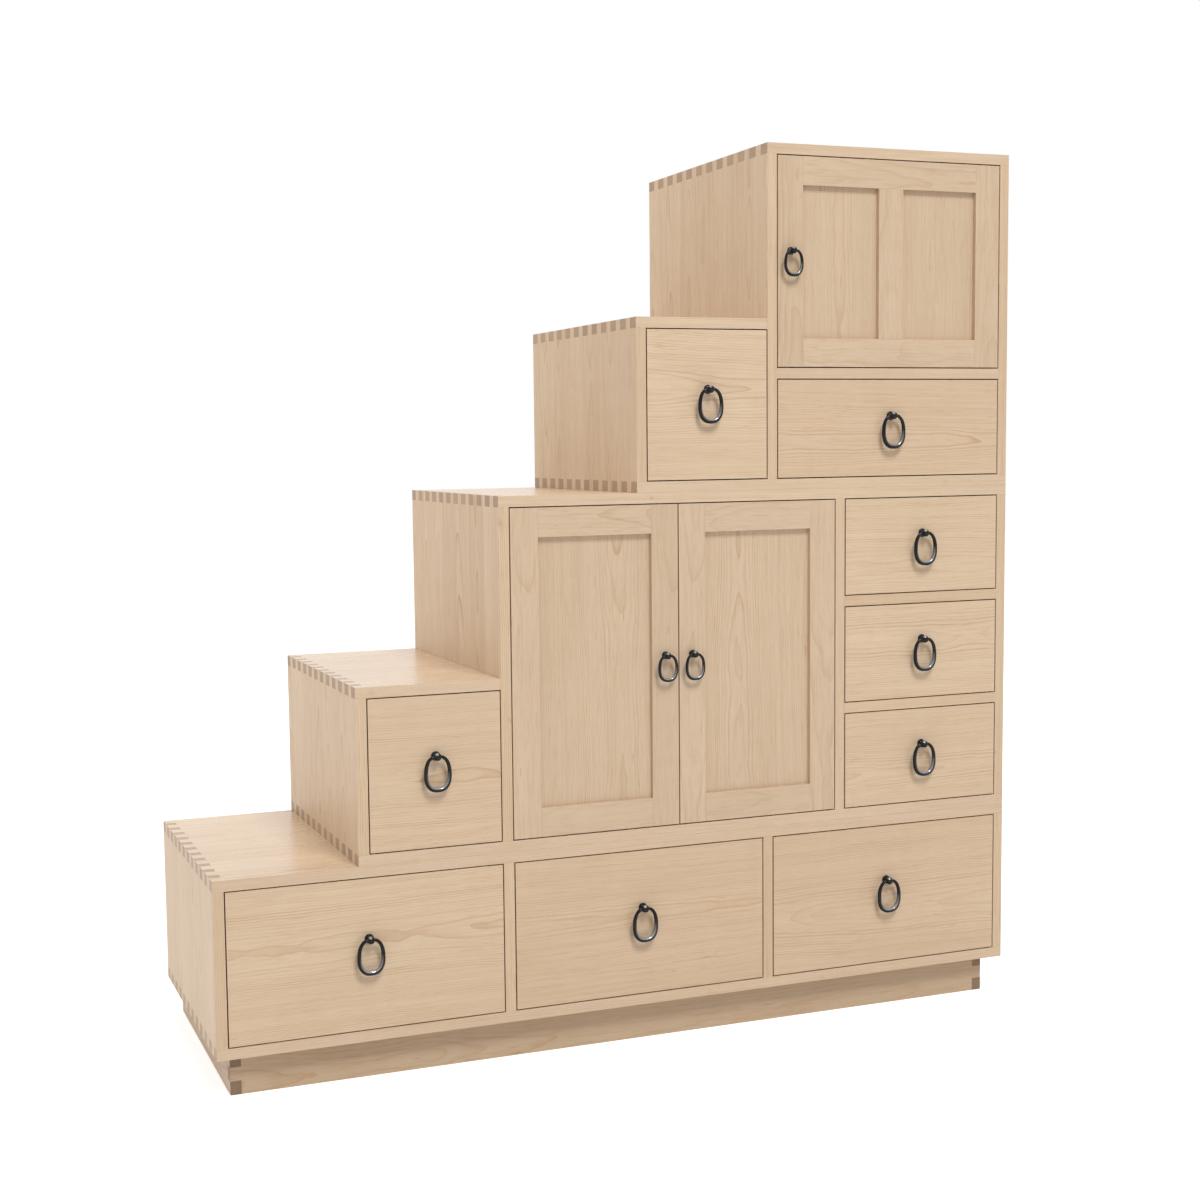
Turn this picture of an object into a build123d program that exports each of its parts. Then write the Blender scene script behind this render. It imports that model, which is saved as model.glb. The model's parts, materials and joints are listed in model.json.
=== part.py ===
"""Step chest tansu: three finger-jointed chests stacked on a plinth, with nine drawers and three doors.

Millimetres. X runs to the right and Z up, and Y runs from the front to the back. The origin is on the
floor, under the middle of the whole object, ring pulls included. Everything stands closed.
"""

import os
from math import copysign, cos, radians, sin

from build123d import *

# ---- Driving dimensions -------------------------------------------------------------------------
WIDTH = 1524.0
DEPTH = 508.0
BOARD = 19.0  # thickness of every carcass board and drawer front
GAP = 2.0  # all round an inset drawer front or door
RUNNING = 0.3  # between a moving piece and the board it runs over

RISERS = (0.0, 246.0, 502.5, 760.0, 1016.5)  # left face of each step, from the left end
TREADS = (372.0, 674.5, 986.5, 1291.5, 1600.0)  # top of each step, from the floor

PLINTH_HEIGHT = 71.0
PLINTH_INSET_SIDE = 26.0
PLINTH_INSET_FRONT = 30.0
PLINTH_FINGERS = 3

FINGERS = 12  # fingers on the end of each top or bottom board
FINGER = 25.0  # width of one finger
HOUSING = 5.0  # depth of the housings that hold dividers and shelves
HOUSING_STOP = 12.0  # how far behind the front edge a housing stops

BACK_THICKNESS = 9.0
BACK_INSET = 2.0

DIVIDER_LOW_LEFT = 484.75  # clear width of the lowest chest's left opening
DIVIDER_LOW_MIDDLE = 483.75  # and of its middle one
CABINET_WIDTH = 634.5  # clear width behind the pair of doors
DRAWER_OPENING = 179.5  # clear height of each of the flat drawers
CABINET_SHELF_HEIGHT = 300.0  # underside of the cabinet's shelf, above the cabinet's floor
CABINET_SHELF_SETBACK = 30.0

DRAWER_SIDE = 12.0
DRAWER_TOP_CLEARANCE = 6.0
DRAWER_LAP = 12.0  # how far a side's dovetails reach into the front
TAIL_PITCH = 85.0  # about one dovetail for this much of a side's height
TAIL_ANGLE = 80.5  # of a tail's flanks, a slope of 1 in 6
PIN_TIP = 10.0  # width of the front's pins between the tips of the tails
DRAWER_REBATE = 6.0  # how far the back is let into each side
DRAWER_BOTTOM = 6.0
DRAWER_BOTTOM_RISE = 8.0
DRAWER_GROOVE = 5.0

STILE = 51.0
PANEL = 6.0
PANEL_RECESS = 8.5  # from the face of the frame to the face of the panel
PANEL_GROOVE = 9.0
PANEL_PLAY = 2.0  # room for the panel to move in the bottom of its groove
PIVOT_FROM_EDGE = 9.5
PIVOT_FROM_FACE = 5.5
PIVOT_RADIUS = 2.5
PIVOT_IN_BOARD = 9.0
SHANK = 4.0  # side of the square shank driven into the end of the stile
SHANK_LENGTH = 12.0
SOCKET_DEPTH = 10.0
COLLAR_RADIUS = 4.8
STOP_SIZE = 12.0
STOP_LENGTH = 60.0

PULL_REACH = 20.0  # how far a pull stands out from the face
PULL_RISE_TALL = 27.0  # pull above the centre of a tall drawer front
PULL_RISE_FLAT = 22.0  # and above the centre of a flat one
PULL_RISE_DOOR = 19.0
POST_FLATS = 8  # the forged post is drawn with flats, like the ring
BALL_RADIUS = 8.0
BALL_CHAMFER = 3.4
PLATE_RADIUS = 9.0
PLATE_THICKNESS = 2.2
PLATE_CHAMFER = 0.9
NECK_RADIUS = 4.0
TANG_WIDTH = 4.0
TANG_HEIGHT = 3.0
LEG_LENGTH = 14.0
LEG_THICKNESS = 1.5
RING_FLATS = 8
RING_STATIONS = 13
RING_HALF_WIDTH = 21.0  # of the wire's centre line
RING_WIDEST = 29.0  # how far the widest place is below the pivot
RING_UPPER = 30.0  # upper and lower half-heights of the egg
RING_LOWER = 27.5
RING_FULLNESS = 2.45  # exponent of the egg's curve: 2 is an ellipse, more has broader shoulders
RING_START = 24.0  # degrees from the egg's top, where the wire leaves its pegs
PEG_RADIUS = 2.5
PEG_PLAY = 0.08
PEG_LENGTH = 8.0  # from the middle of the ball to the ring's arm, just outside the ball
PEG_END = 0.75  # from the middle of the ball to the end of a peg
WIRE_TOP = 2.7  # half the wire's width at the top and at the bottom
WIRE_BOTTOM = 4.2
WIRE_DEPTH = 6.4
WIRE_CHAMFER = 1.6

# ---- Places worked out from them ----------------------------------------------------------------
LEFT = -WIDTH / 2
RIGHT = WIDTH / 2
BACK = (DEPTH + PULL_REACH) / 2
FRONT = BACK - DEPTH
MIDDLE = (FRONT + BACK) / 2
STEP_X = [LEFT + riser for riser in RISERS]
PIN = (DEPTH - FINGERS * FINGER) / (FINGERS - 1)  # width of the side's pin between two fingers
PITCH = FINGER + PIN
SEAM_LOW, SEAM_HIGH, TOP = TREADS[0], TREADS[2], TREADS[4]  # seams between the chests, and the top
DIVIDER_1 = LEFT + BOARD + DIVIDER_LOW_LEFT
DIVIDER_2 = DIVIDER_1 + BOARD + DIVIDER_LOW_MIDDLE
CABINET_LEFT = STEP_X[2] + BOARD
CABINET_RIGHT = CABINET_LEFT + CABINET_WIDTH
BACK_FACE = BACK - BACK_INSET
BACK_INNER = BACK_FACE - BACK_THICKNESS
DRAWER_END = BACK_INNER - RUNNING  # the back panels stop the drawers


def slab(x, y, z):
    """A plain board between its limits on the three axes."""
    with BuildPart() as board:
        with BuildSketch(Plane.XY.offset(z[0])):
            with Locations(((x[0] + x[1]) / 2, (y[0] + y[1]) / 2)):
                Rectangle(x[1] - x[0], y[1] - y[0])
        extrude(amount=z[1] - z[0])
    return board.part


def save(name, *pieces):
    """Labels one node, made of one or more separate pieces, and writes it."""
    node = pieces[0] if len(pieces) == 1 else Compound(children=list(pieces))
    node.label = name
    export_step(node, f"parts/{name}.step")


# ---- Carcass boards -----------------------------------------------------------------------------
def flat_board(x, z, combed_left=True, combed_right=True, housings=()):
    """A top or bottom board: its ends are combs of fingers that run through the sides' outer faces.

    housings are the tongues of dividers, and the pivots' sockets, that are cut out of it.
    """
    with BuildPart() as board:
        with BuildSketch(Plane.XY.offset(z)):
            with Locations(((x[0] + x[1]) / 2, MIDDLE)):
                Rectangle(x[1] - x[0], DEPTH)
            notched = [x[0] + BOARD / 2] * combed_left + [x[1] - BOARD / 2] * combed_right
            for end in notched:
                with Locations((end, MIDDLE)):
                    with GridLocations(0, PITCH, 1, FINGERS - 1):
                        Rectangle(BOARD, PIN, mode=Mode.SUBTRACT)
        extrude(amount=BOARD)
        for tongue in housings:
            add(tongue, mode=Mode.SUBTRACT)
    return board.part


def side_board(x, z, combed_foot=True, combed_head=True, housings=()):
    """An upright side: its combed ends have notches for the fingers and pins between them.

    housings are the tongues of shelves and treads that are cut out of it.
    """
    with BuildPart() as board:
        with BuildSketch(Plane.YZ.offset(x)):
            with Locations((MIDDLE, (z[0] + z[1]) / 2)):
                Rectangle(DEPTH, z[1] - z[0])
            notched = [z[0] + BOARD / 2] * combed_foot + [z[1] - BOARD / 2] * combed_head
            for end in notched:
                with Locations((MIDDLE, end)):
                    with GridLocations(PITCH, 0, FINGERS, 1):
                        Rectangle(FINGER, BOARD, mode=Mode.SUBTRACT)
        extrude(amount=BOARD)
        for tongue in housings:
            add(tongue, mode=Mode.SUBTRACT)
    return board.part


def tongue_under(x, z):
    """The tongue at the foot of an upright board that stands at x, on a board whose top is at z."""
    return slab((x, x + BOARD), (FRONT + HOUSING_STOP, BACK_INNER), (z - HOUSING, z))


def tongue_over(x, z):
    """The tongue at the head of an upright board, in a board whose underside is at z."""
    return slab((x, x + BOARD), (FRONT + HOUSING_STOP, BACK_INNER), (z, z + HOUSING))


def tongue_left(x, z, setback=HOUSING_STOP):
    """The tongue at the left end of a shelf with its underside at z, in a board with its face at x."""
    return slab((x - HOUSING, x), (FRONT + setback, BACK_INNER), (z, z + BOARD))


def tongue_right(x, z, setback=HOUSING_STOP):
    """The tongue at the right end of a shelf."""
    return slab((x, x + HOUSING), (FRONT + setback, BACK_INNER), (z, z + BOARD))


def joined(board, *tongues, holes=()):
    """A board with its tongues added, and its holes and grooves cut after them."""
    with BuildPart() as whole:
        add(board)
        for tongue in tongues:
            add(tongue)
        for hole in holes:
            add(hole, mode=Mode.SUBTRACT)
    return whole.part


def socket(x, z, way):
    """The running hole for a door's pivot in a carcass board's face at z: way is 1 upwards, -1 down."""
    with BuildPart() as hole:
        with BuildSketch(Plane.XY.offset(z)):
            with Locations((x, FRONT + PIVOT_FROM_FACE)):
                Circle(PIVOT_RADIUS + PEG_PLAY)
        extrude(amount=way * SOCKET_DEPTH)
    return hole.part


def back_panel(x, z):
    """A thin panel that closes a bay from behind."""
    return slab(x, (BACK_INNER, BACK_FACE), z)


def plinth():
    """Four rails, joined at the corners by three fingers: the side rails' show at top and bottom."""
    left, right = LEFT + PLINTH_INSET_SIDE, RIGHT - PLINTH_INSET_SIDE
    front = FRONT + PLINTH_INSET_FRONT
    finger = PLINTH_HEIGHT / PLINTH_FINGERS
    rails = []
    for y in (front, BACK - BOARD):
        with BuildPart() as long_rail:
            with BuildSketch(Plane.XZ.offset(-y)):
                with Locations(((left + right) / 2, PLINTH_HEIGHT / 2)):
                    Rectangle(right - left, PLINTH_HEIGHT)
                    with GridLocations(right - left - BOARD, 2 * finger, 2, 2):
                        Rectangle(BOARD, finger, mode=Mode.SUBTRACT)
            extrude(amount=-BOARD)
        rails.append(long_rail.part)
    for x in (left, right - BOARD):
        with BuildPart() as short_rail:
            with BuildSketch(Plane.YZ.offset(x)):
                with Locations(((front + BACK) / 2, PLINTH_HEIGHT / 2)):
                    Rectangle(BACK - front, PLINTH_HEIGHT)
                    with GridLocations(BACK - front - BOARD, 0, 2, 1):
                        Rectangle(BOARD, finger, mode=Mode.SUBTRACT)
            extrude(amount=BOARD)
        rails.append(short_rail.part)
    save("plinth_rails", *rails)


def low_chest():
    """The lowest chest, full width, with two dividers. Its top shows at the left as the first tread."""
    floor, ceiling = PLINTH_HEIGHT + BOARD, SEAM_LOW - BOARD
    feet = [tongue_under(x, floor) for x in (DIVIDER_1, DIVIDER_2)]
    heads = [tongue_over(x, ceiling) for x in (DIVIDER_1, DIVIDER_2)]
    sides = [side_board(x, (PLINTH_HEIGHT, SEAM_LOW)) for x in (LEFT, RIGHT - BOARD)]
    save("low_chest_sides", *sides)
    save("low_chest_bottom", flat_board((LEFT, RIGHT), PLINTH_HEIGHT, housings=feet))
    save("low_chest_top", flat_board((LEFT, RIGHT), ceiling, housings=heads))
    dividers = [
        joined(slab((x, x + BOARD), (FRONT, BACK_INNER), (floor, ceiling)), foot, head)
        for x, foot, head in zip((DIVIDER_1, DIVIDER_2), feet, heads)
    ]
    save("low_chest_dividers", *dividers)


def shelf(x, z, setback=0.0):
    """A shelf between two upright faces, and its right and left tongues, which the boards house."""
    stop = setback or HOUSING_STOP
    tongues = (tongue_right(x[1], z, stop), tongue_left(x[0], z, stop))
    return joined(slab(x, (FRONT + setback, BACK_INNER), (z, z + BOARD)), *tongues), tongues


def middle_chest(sockets_floor, sockets_ceiling):
    """The middle chest: a step with a drawer, a cabinet behind two doors, and three drawers."""
    left, step = STEP_X[1], STEP_X[2]
    floor, ceiling, tread = SEAM_LOW + BOARD, SEAM_HIGH - BOARD, TREADS[1] - BOARD
    bay = (CABINET_RIGHT + BOARD, RIGHT - BOARD)
    heights = [floor + DRAWER_OPENING, floor + 2 * DRAWER_OPENING + BOARD]
    drawer_shelves = [shelf(bay, z) for z in heights]
    cabinet_shelf, cabinet_tongues = shelf(
        (CABINET_LEFT, CABINET_RIGHT), floor + CABINET_SHELF_HEIGHT, CABINET_SHELF_SETBACK
    )
    right_tongues = [tongues[0] for _, tongues in drawer_shelves]
    left_tongues = [tongues[1] for _, tongues in drawer_shelves]
    divider_foot = tongue_under(CABINET_RIGHT, floor)
    divider_head = tongue_over(CABINET_RIGHT, ceiling)
    step_foot = tongue_under(step, floor)
    tread_end = tongue_right(step, tread)
    save("middle_chest_left_side", side_board(left, (SEAM_LOW, TREADS[1])))
    right_side = side_board(RIGHT - BOARD, (SEAM_LOW, SEAM_HIGH), housings=right_tongues)
    save("middle_chest_right_side", right_side)
    step_side = side_board(
        step, (floor, SEAM_HIGH), combed_foot=False, housings=[tread_end, cabinet_tongues[1]]
    )
    save("middle_chest_step_side", joined(step_side, step_foot))
    bottom = flat_board((left, RIGHT), SEAM_LOW, housings=[divider_foot, step_foot, *sockets_floor])
    save("middle_chest_bottom", bottom)
    top = flat_board((step, RIGHT), ceiling, housings=[divider_head, *sockets_ceiling])
    save("middle_chest_top", top)
    step_top = flat_board((left, step), tread, combed_right=False)
    save("middle_chest_step_top", joined(step_top, tread_end))
    divider = slab((CABINET_RIGHT, CABINET_RIGHT + BOARD), (FRONT, BACK_INNER), (floor, ceiling))
    divider = joined(divider, divider_foot, divider_head, holes=[cabinet_tongues[0], *left_tongues])
    save("middle_chest_partitions", divider, cabinet_shelf, *[board for board, _ in drawer_shelves])


def high_chest(sockets_floor, sockets_ceiling):
    """The top chest: a step with a drawer, and a flat drawer below a cabinet with one door."""
    left, step = STEP_X[3], STEP_X[4]
    floor, ceiling, tread = SEAM_HIGH + BOARD, TOP - BOARD, TREADS[3] - BOARD
    bay = (step + BOARD, RIGHT - BOARD)
    drawer_shelf, (shelf_right, shelf_left) = shelf(bay, floor + DRAWER_OPENING)
    step_foot = tongue_under(step, floor)
    tread_end = tongue_right(step, tread)
    save("high_chest_left_side", side_board(left, (SEAM_HIGH, TREADS[3])))
    save("high_chest_right_side", side_board(RIGHT - BOARD, (SEAM_HIGH, TOP), housings=[shelf_right]))
    step_side = side_board(step, (floor, TOP), combed_foot=False, housings=[tread_end, shelf_left])
    save("high_chest_step_side", joined(step_side, step_foot))
    save("high_chest_bottom", flat_board((left, RIGHT), SEAM_HIGH, housings=[step_foot]))
    save("high_chest_top", flat_board((step, RIGHT), ceiling, housings=sockets_ceiling))
    step_top = flat_board((left, step), tread, combed_right=False)
    save("high_chest_step_top", joined(step_top, tread_end))
    save("high_chest_shelf", joined(drawer_shelf, holes=sockets_floor))


def backs():
    """Thin panels inside the rear edges, one behind each bay between the full-depth boards."""
    save(
        "back_panels",
        back_panel((LEFT + BOARD, RIGHT - BOARD), (PLINTH_HEIGHT + BOARD, SEAM_LOW - BOARD)),
        back_panel((STEP_X[1] + BOARD, STEP_X[2]), (SEAM_LOW + BOARD, TREADS[1] - BOARD)),
        back_panel((CABINET_LEFT, RIGHT - BOARD), (SEAM_LOW + BOARD, SEAM_HIGH - BOARD)),
        back_panel((STEP_X[3] + BOARD, STEP_X[4]), (SEAM_HIGH + BOARD, TREADS[3] - BOARD)),
        back_panel((STEP_X[4] + BOARD, RIGHT - BOARD), (SEAM_HIGH + BOARD, TOP - BOARD)),
    )


def door_stops():
    """Small blocks under the boards above the doors, which the doors' free edges close against."""
    y = FRONT + BOARD + RUNNING
    pair_middle = (CABINET_LEFT + CABINET_RIGHT) / 2
    single_left = STEP_X[4] + BOARD
    blocks = []
    for x, ceiling in ((pair_middle - STOP_LENGTH / 2, SEAM_HIGH), (single_left, TOP)):
        z = ceiling - BOARD
        blocks.append(slab((x, x + STOP_LENGTH), (y, y + STOP_SIZE), (z - STOP_SIZE, z)))
    save("door_stops", *blocks)


# ---- Ring pulls ---------------------------------------------------------------------------------
def before_front(distance):
    """The plane parallel to the front face, at a distance before it, looking out of the front."""
    return Plane.XZ.offset(distance - FRONT)


def pull_post(x, z):
    """The fixed half of a pull: plate, neck and ball, with a cross bore for the ring's pegs.

    Its tang goes through the wood, and its two legs are clinched flat against the back of it.
    """
    centre = PULL_REACH - BALL_RADIUS
    with BuildPart() as post:
        forms = (
            (centre - BALL_RADIUS, BALL_RADIUS, 2 * BALL_RADIUS, BALL_CHAMFER),
            (0, PLATE_RADIUS, PLATE_THICKNESS, PLATE_CHAMFER),
        )
        for start, radius, length, bevel in forms:
            with BuildSketch(before_front(start)):
                with Locations((x, z)):
                    RegularPolygon(radius, POST_FLATS, rotation=180 / POST_FLATS)
            extrude(amount=length)
            ends = post.faces(Select.LAST).filter_by(Axis.Y)
            chamfer((ends if start else ends.sort_by(Axis.Y)[:1]).edges(), bevel)
        with BuildSketch(before_front(0)):
            with Locations((x, z)):
                RegularPolygon(NECK_RADIUS, POST_FLATS, rotation=180 / POST_FLATS)
        extrude(amount=centre)
        with BuildSketch(Plane.YZ.offset(x)):
            with Locations((FRONT - centre, z)):
                Circle(PEG_RADIUS + PEG_PLAY)
        extrude(amount=BALL_RADIUS + 1, both=True, mode=Mode.SUBTRACT)
        add(tang(x, z))
        with Locations((x, FRONT + BOARD + LEG_THICKNESS / 2, z)):
            Box(2 * LEG_LENGTH, LEG_THICKNESS, TANG_HEIGHT)
    return post.part


def tang(x, z):
    """The flat tang of a pull where it goes through the wood, and the slot that it fills."""
    half_x, half_z = TANG_WIDTH / 2, TANG_HEIGHT / 2
    return slab((x - half_x, x + half_x), (FRONT, FRONT + BOARD), (z - half_z, z + half_z))


def egg(angle):
    """Centre and outward direction of the ring's wire at an angle from its top, round to the left.

    The curve is a superellipse, |x / width| ** n + |z / height| ** n = 1, with two half-heights.
    """
    across, up = -sin(radians(angle)), cos(radians(angle))
    half = RING_UPPER if up > 0 else RING_LOWER
    reach, slope = 2 / RING_FULLNESS, 2 - 2 / RING_FULLNESS
    x = copysign(abs(across) ** reach, across)
    z = copysign(abs(up) ** reach, up)
    normal_x = copysign(abs(across) ** slope, x) * half
    normal_z = copysign(abs(up) ** slope, z) * RING_HALF_WIDTH
    return Vector(x * RING_HALF_WIDTH, z * half - RING_WIDEST), Vector(normal_x, normal_z).normalized()


def pull_ring(x, z):
    """The swinging half: an open egg of forged wire, thick at the bottom, with pegs for its ends."""
    y = FRONT - PULL_REACH + BALL_RADIUS
    outer, inner = [(-PEG_LENGTH, PEG_RADIUS)], [(-PEG_LENGTH, -PEG_RADIUS)]
    for step in range(RING_STATIONS):
        angle = RING_START + (360 - 2 * RING_START) * step / (RING_STATIONS - 1)
        thickening = ((1 - cos(radians(angle))) / 2) ** 1.5
        radius = WIRE_TOP + (WIRE_BOTTOM - WIRE_TOP) * thickening
        centre, outward = egg(angle)
        outer.append(centre + outward * radius)
        inner.append(centre - outward * radius)
    outer.append((PEG_LENGTH, PEG_RADIUS))
    inner.append((PEG_LENGTH, -PEG_RADIUS))
    with BuildPart() as ring:
        with BuildSketch(Plane(origin=(x, y, z), x_dir=(1, 0, 0), z_dir=(0, -1, 0))):
            with BuildLine():
                Polyline(*outer, *reversed(inner), close=True)
            make_face()
        extrude(amount=WIRE_DEPTH / 2, both=True)
        chamfer(ring.faces().filter_by(Axis.Y).edges(), WIRE_CHAMFER)
        for side in (-1, 1):
            with BuildSketch(Plane.YZ.offset(x + side * PEG_LENGTH)):
                with Locations((y, z)):
                    RegularPolygon(PEG_RADIUS, RING_FLATS, rotation=180 / RING_FLATS)
            extrude(amount=-side * (PEG_LENGTH - PEG_END))
    return ring.part


# ---- Drawers ------------------------------------------------------------------------------------
def drawer_side(x, z, cuts):
    """A drawer's side, with dovetails at its front end that are widest at their tips."""
    height, middle, inner = z[1] - z[0], (z[0] + z[1]) / 2, FRONT + BOARD
    tails = round(height / TAIL_PITCH)
    pitch = height / tails
    with BuildPart() as board:
        with BuildSketch(Plane.YZ.offset(x)):
            with Locations(((inner + DRAWER_END) / 2, middle)):
                Rectangle(DRAWER_END - inner, height)
            with Locations((inner - DRAWER_LAP / 2, middle)):
                with GridLocations(0, pitch, 1, tails):
                    Trapezoid(pitch - PIN_TIP, DRAWER_LAP, TAIL_ANGLE, rotation=-90)
        extrude(amount=DRAWER_SIDE)
        for cut in cuts:
            add(cut, mode=Mode.SUBTRACT)
    return board.part


def drawer(name, x, z, rise):
    """One drawer in the opening between the limits x and z.

    The sides' dovetails are let into the back of the front, half-blind, so that none shows when the
    drawer is shut. The bottom lies in grooves and runs out under the back, which stands in rebates.
    """
    left, right = x[0] + GAP, x[1] - GAP
    low, high = z[0] + RUNNING, z[1] - DRAWER_TOP_CLEARANCE
    inner = FRONT + BOARD
    panel_z = (low + DRAWER_BOTTOM_RISE, low + DRAWER_BOTTOM_RISE + DRAWER_BOTTOM)
    bottom_x = (left + DRAWER_SIDE - DRAWER_GROOVE, right - DRAWER_SIDE + DRAWER_GROOVE)
    bottom = slab(bottom_x, (inner - DRAWER_GROOVE, DRAWER_END), panel_z)
    back_x = (left + DRAWER_SIDE - DRAWER_REBATE, right - DRAWER_SIDE + DRAWER_REBATE)
    back = slab(back_x, (DRAWER_END - DRAWER_SIDE, DRAWER_END), (panel_z[1], high))
    sides = [drawer_side(edge, (low, high), (bottom, back)) for edge in (left, right - DRAWER_SIDE)]
    pull = ((left + right) / 2, (z[0] + z[1]) / 2 + rise)
    front = slab((left, right), (FRONT, inner), (z[0] + GAP, z[1] - GAP))
    front = joined(front, holes=[*sides, bottom, tang(*pull)])
    save(f"drawer_{name}", front, *sides, back, bottom)
    save(f"drawer_{name}_post", pull_post(*pull))
    save(f"drawer_{name}_ring", pull_ring(*pull))


# ---- Doors --------------------------------------------------------------------------------------
def pivot(x, z, way):
    """A pivot in a door's end at z, way 1 upwards or -1 down: shank, collar in the gap, and round pin."""
    centre = (x, FRONT + PIVOT_FROM_FACE)
    collar = GAP - RUNNING
    with BuildPart() as piece:
        with BuildSketch(Plane.XY.offset(z)):
            with Locations(centre):
                RegularPolygon(COLLAR_RADIUS, POST_FLATS)
        extrude(amount=way * collar)
        with BuildSketch(Plane.XY.offset(z + way * collar)):
            with Locations(centre):
                Circle(PIVOT_RADIUS)
        extrude(amount=way * (GAP + PIVOT_IN_BOARD - collar))
        add(shank(x, z, way))
    return piece.part


def shank(x, z, way):
    """The square shank of a pivot, and the hole that it fills in the end of the stile."""
    y = FRONT + PIVOT_FROM_FACE
    half = SHANK / 2
    return slab((x - half, x + half), (y - half, y + half), sorted((z, z - way * SHANK_LENGTH)))


def muntin(x, sight_z, groove):
    """The upright bar between two panels, grooved at both edges, with a stub tenon at each end."""
    y = (FRONT + PANEL_RECESS, FRONT + PANEL_RECESS + PANEL)
    stub_z = (sight_z[0] - PANEL_GROOVE, sight_z[1] + PANEL_GROOVE)
    stub = slab((x[0] + PANEL_GROOVE, x[1] - PANEL_GROOVE), y, stub_z)
    return joined(joined(slab(x, (FRONT, FRONT + BOARD), sight_z), holes=[groove]), stub)


def door(name, x, z, hinge_x, pull_x, panels=1):
    """A frame-and-panel door between the limits x and z, turning on pivots in its ends at hinge_x.

    The rails' tenons run right through the ends of the stiles, in line with the panels' groove.
    """
    y, groove_y = (FRONT, FRONT + BOARD), (FRONT + PANEL_RECESS, FRONT + PANEL_RECESS + PANEL)
    sight_x, sight_z = (x[0] + STILE, x[1] - STILE), (z[0] + STILE, z[1] - STILE)
    groove_x = (sight_x[0] - PANEL_GROOVE, sight_x[1] + PANEL_GROOVE)
    groove_z = (sight_z[0] - PANEL_GROOVE, sight_z[1] + PANEL_GROOVE)
    groove = slab(groove_x, groove_y, groove_z)
    tenons = [slab(groove_x, groove_y, span) for span in ((z[0], groove_z[0]), (groove_z[1], z[1]))]
    pull = (pull_x, (z[0] + z[1]) / 2 + PULL_RISE_DOOR)
    cuts = [groove, *tenons, shank(hinge_x, z[0], -1), shank(hinge_x, z[1], 1), tang(*pull)]
    frame = [joined(slab((edge, edge + STILE), y, z), holes=cuts) for edge in (x[0], sight_x[1])]
    for span, tenon in zip(((z[0], sight_z[0]), (sight_z[1], z[1])), tenons):
        frame.append(joined(slab(sight_x, y, span), tenon, holes=[groove]))
    lights = [sight_x]
    if panels == 2:
        middle = ((x[0] + x[1] - STILE) / 2, (x[0] + x[1] + STILE) / 2)
        frame.append(muntin(middle, sight_z, groove))
        lights = [(sight_x[0], middle[0]), (middle[1], sight_x[1])]
    grown = PANEL_GROOVE - PANEL_PLAY
    panel_z = (sight_z[0] - grown, sight_z[1] + grown)
    save(f"door_{name}_frame", *frame)
    save(f"door_{name}_panel", *[slab((a - grown, b + grown), groove_y, panel_z) for a, b in lights])
    pivots = [pivot(hinge_x, z[0], -1), pivot(hinge_x, z[1], 1)]
    save(f"door_{name}_ironwork", pull_post(*pull), *pivots)
    save(f"door_{name}_ring", pull_ring(*pull))


# ---- The whole chest ----------------------------------------------------------------------------
os.makedirs("parts", exist_ok=True)

pivot_in = GAP + PIVOT_FROM_EDGE
low_pivots = (CABINET_LEFT + pivot_in, CABINET_RIGHT - pivot_in)
high_pivot = RIGHT - BOARD - pivot_in
middle_floor, middle_ceiling = SEAM_LOW + BOARD, SEAM_HIGH - BOARD
high_floor, high_ceiling = SEAM_HIGH + BOARD, TOP - BOARD
high_cabinet_floor = high_floor + DRAWER_OPENING + BOARD

plinth()
low_chest()
middle_chest(
    sockets_floor=[socket(x, middle_floor, -1) for x in low_pivots],
    sockets_ceiling=[socket(x, middle_ceiling, 1) for x in low_pivots],
)
high_chest(
    sockets_floor=[socket(high_pivot, high_cabinet_floor, -1)],
    sockets_ceiling=[socket(high_pivot, high_ceiling, 1)],
)
backs()
door_stops()

low_z = (PLINTH_HEIGHT + BOARD, SEAM_LOW - BOARD)
drawer("low_left", (LEFT + BOARD, DIVIDER_1), low_z, PULL_RISE_TALL)
drawer("low_middle", (DIVIDER_1 + BOARD, DIVIDER_2), low_z, PULL_RISE_TALL)
drawer("low_right", (DIVIDER_2 + BOARD, RIGHT - BOARD), low_z, PULL_RISE_TALL)
drawer("low_step", (STEP_X[1] + BOARD, STEP_X[2]), (middle_floor, TREADS[1] - BOARD), PULL_RISE_TALL)
drawer("high_step", (STEP_X[3] + BOARD, STEP_X[4]), (high_floor, TREADS[3] - BOARD), PULL_RISE_TALL)
column = (CABINET_RIGHT + BOARD, RIGHT - BOARD)
for index, row in enumerate(("bottom", "middle", "top")):
    foot = middle_floor + index * (DRAWER_OPENING + BOARD)
    drawer(f"column_{row}", column, (foot, foot + DRAWER_OPENING), PULL_RISE_FLAT)
wide = (STEP_X[4] + BOARD, RIGHT - BOARD)
drawer("high_wide", wide, (high_floor, high_floor + DRAWER_OPENING), PULL_RISE_FLAT)

pair_z = (middle_floor + GAP, middle_ceiling - GAP)
pair_middle = (CABINET_LEFT + CABINET_RIGHT) / 2
inner_edge = pair_middle - GAP / 2
door("low_left", (CABINET_LEFT + GAP, inner_edge), pair_z, low_pivots[0], inner_edge - STILE / 2)
inner_edge = pair_middle + GAP / 2
door("low_right", (inner_edge, CABINET_RIGHT - GAP), pair_z, low_pivots[1], inner_edge + STILE / 2)
single_x = (wide[0] + GAP, wide[1] - GAP)
single_z = (high_cabinet_floor + GAP, high_ceiling - GAP)
door("high", single_x, single_z, high_pivot, single_x[0] + STILE / 2, panels=2)
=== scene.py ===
"""Step chest tansu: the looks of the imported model, in pale maple with black iron ring pulls.

Metres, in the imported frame: X to the right, Y from front to back, Z up.
"""

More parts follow.
